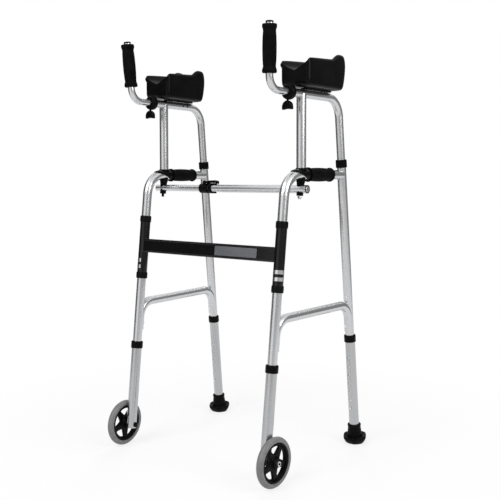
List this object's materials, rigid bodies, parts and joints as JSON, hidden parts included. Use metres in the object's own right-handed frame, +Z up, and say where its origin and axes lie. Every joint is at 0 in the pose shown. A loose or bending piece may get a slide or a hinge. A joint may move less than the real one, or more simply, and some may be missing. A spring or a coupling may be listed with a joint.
{
  "type": "upright walker",
  "caption": "Folding upright walking frame: two silver side frames with forearm gutters, upright and lower grips, black cross frame, telescoping brace and legs, front wheels, rear rubber feet",
  "frame": {"origin": "on the floor, under the middle of the outer box", "axes": "+Z up; the front of the walker faces -Y; +X is the right-hand frame seen from the front"},
  "size_m": [0.588, 0.5249, 1.1533],
  "materials": {
    "aluminium_tube": "satin anodised",
    "black_plastic": "fine moulded grain",
    "black_paint": "satin powder coat",
    "black_foam": "soft skinned foam",
    "grip_foam": "ribbed foam",
    "black_rubber": "matte",
    "grey_tyre": "smooth matte",
    "hub_plastic": "moulded",
    "bright_steel": "zinc plated"
  },
  "bodies": {
    "cross": {"cross_frame": "black_paint", "sleeve_bushes": "black_plastic"},
    "left_frame": {"left_front_tube": "aluminium_tube", "left_rear_tube": "aluminium_tube", "left_side_bar": "aluminium_tube", "left_hand_grip": "grip_foam", "left_arm_frame": "aluminium_tube", "left_post_saddle": "black_plastic", "left_arm_collar": "black_plastic", "left_rod_clamp": "black_plastic", "left_pad_mount": "black_paint", "left_arm_pad": "black_foam", "left_fasteners": "bright_steel"},
    "left_handle": {"left_handle_rod": "aluminium_tube", "left_handle_grip": "grip_foam", "left_grip_cap": "black_plastic"},
    "left_knob": {"left_clamp_knob": "black_plastic"},
    "left_front_lower": {"left_front_leg": "aluminium_tube", "left_front_collar": "black_plastic", "left_wheel_axle": "bright_steel"},
    "left_wheel": {"left_wheel_tyre": "grey_tyre", "left_wheel_hub": "hub_plastic", "left_wheel_bush": "bright_steel"},
    "left_rear_lower": {"left_rear_leg": "aluminium_tube", "left_rear_collar": "black_plastic", "left_foot": "black_rubber"},
    "left_front_pin": {"left_front_button": "bright_steel"},
    "left_rear_pin": {"left_rear_button": "bright_steel"},
    "right_frame": {"right_front_tube": "aluminium_tube", "right_rear_tube": "aluminium_tube", "right_side_bar": "aluminium_tube", "right_hand_grip": "grip_foam", "right_arm_frame": "aluminium_tube", "right_post_saddle": "black_plastic", "right_arm_collar": "black_plastic", "right_rod_clamp": "black_plastic", "right_pad_mount": "black_paint", "right_arm_pad": "black_foam", "right_fasteners": "bright_steel"},
    "right_handle": {"right_handle_rod": "aluminium_tube", "right_handle_grip": "grip_foam", "right_grip_cap": "black_plastic"},
    "right_knob": {"right_clamp_knob": "black_plastic"},
    "right_front_lower": {"right_front_leg": "aluminium_tube", "right_front_collar": "black_plastic", "right_wheel_axle": "bright_steel"},
    "right_wheel": {"right_wheel_tyre": "grey_tyre", "right_wheel_hub": "hub_plastic", "right_wheel_bush": "bright_steel"},
    "right_rear_lower": {"right_rear_leg": "aluminium_tube", "right_rear_collar": "black_plastic", "right_foot": "black_rubber"},
    "right_front_pin": {"right_front_button": "bright_steel"},
    "right_rear_pin": {"right_rear_button": "bright_steel"},
    "brace_outer": {"brace_outer_tube": "aluminium_tube", "brace_lock": "black_plastic", "outer_pivot_pads": "black_plastic"},
    "brace_inner": {"brace_inner_tube": "aluminium_tube", "inner_pivot_pads": "black_plastic"},
    "brace_release": {"brace_lever": "black_plastic"}
  },
  "joints": [
    {"name": "left_fold", "type": "hinge", "parent": "cross", "child": "left_frame", "pos_m": [-0.241, -0.19625, 0.065], "axis": [0, -0.1149, -0.9934], "range_deg": [0, 76]},
    {"name": "left_handle_slide", "type": "slide", "parent": "left_frame", "child": "left_handle", "axis": [0.0416, -0.9991, -0.0001], "range_m": [-0.03, 0.05]},
    {"name": "left_knob_turn", "type": "hinge", "parent": "left_frame", "child": "left_knob", "pos_m": [-0.24045, -0.10445, 0.97195], "axis": [0.0048, 0.0001, 1], "range_deg": [-180, 180]},
    {"name": "left_front_leg_slide", "type": "slide", "parent": "left_frame", "child": "left_front_lower", "axis": [0, -0.1149, -0.9934], "range_m": [0, 0.15]},
    {"name": "left_wheel_spin", "type": "hinge", "parent": "left_front_lower", "child": "left_wheel", "pos_m": [-0.26771, -0.19737, 0.06513], "axis": [-0.9991, -0.0416, 0.0048], "continuous": true},
    {"name": "left_rear_leg_slide", "type": "slide", "parent": "left_frame", "child": "left_rear_lower", "axis": [-0.0091, 0.1026, -0.9947], "range_m": [0, 0.15]},
    {"name": "left_front_button_press", "type": "slide", "parent": "left_frame", "child": "left_front_pin", "axis": [0.0419, -0.9925, 0.1148], "range_m": [0, 0.0042], "stiffness_N_per_m": 700},
    {"name": "left_rear_button_press", "type": "slide", "parent": "left_frame", "child": "left_rear_pin", "axis": [-0.0409, 0.9939, 0.1029], "range_m": [0, 0.0042], "stiffness_N_per_m": 700},
    {"name": "right_fold", "type": "hinge", "parent": "cross", "child": "right_frame", "pos_m": [0.241, -0.19625, 0.065], "axis": [0, 0.1149, 0.9934], "range_deg": [0, 45.6]},
    {"name": "right_handle_slide", "type": "slide", "parent": "right_frame", "child": "right_handle", "axis": [-0.0416, -0.9991, -0.0001], "range_m": [-0.03, 0.05]},
    {"name": "right_knob_turn", "type": "hinge", "parent": "right_frame", "child": "right_knob", "pos_m": [0.24045, -0.10445, 0.97195], "axis": [-0.0048, 0.0001, 1], "range_deg": [-180, 180]},
    {"name": "right_front_leg_slide", "type": "slide", "parent": "right_frame", "child": "right_front_lower", "axis": [0, -0.1149, -0.9934], "range_m": [0, 0.15]},
    {"name": "right_wheel_spin", "type": "hinge", "parent": "right_front_lower", "child": "right_wheel", "pos_m": [0.26771, -0.19737, 0.06513], "axis": [0.9991, -0.0416, 0.0048], "continuous": true},
    {"name": "right_rear_leg_slide", "type": "slide", "parent": "right_frame", "child": "right_rear_lower", "axis": [0.0091, 0.1026, -0.9947], "range_m": [0, 0.15]},
    {"name": "right_front_button_press", "type": "slide", "parent": "right_frame", "child": "right_front_pin", "axis": [-0.0419, -0.9925, 0.1148], "range_m": [0, 0.0042], "stiffness_N_per_m": 700},
    {"name": "right_rear_button_press", "type": "slide", "parent": "right_frame", "child": "right_rear_pin", "axis": [0.0409, 0.9939, 0.1029], "range_m": [0, 0.0042], "stiffness_N_per_m": 700},
    {"name": "brace_swing", "type": "hinge", "parent": "right_frame", "child": "brace_outer", "pos_m": [0.2438, -0.05006, 0.74626], "axis": [0, -0.1149, -0.9934], "range_deg": [0, 41.05]},
    {"name": "brace_slide", "type": "slide", "parent": "brace_outer", "child": "brace_inner", "axis": [1, 0, 0], "range_m": [0, 0.11462]},
    {"name": "lever_press", "type": "hinge", "parent": "brace_outer", "child": "brace_release", "pos_m": [-0.07602, -0.04809, 0.76321], "axis": [0, 0.9934, -0.1149], "range_deg": [0, 2], "stiffness_Nm_per_rad": 0.6}
  ],
  "couplings": [
    {"joint": "right_fold", "follows": "left_fold", "ratio": 0.6},
    {"joint": "brace_swing", "follows": "left_fold", "ratio": 0.53948},
    {"joint": "brace_slide", "follows": "left_fold", "m_per_rad": 0.086338}
  ]
}
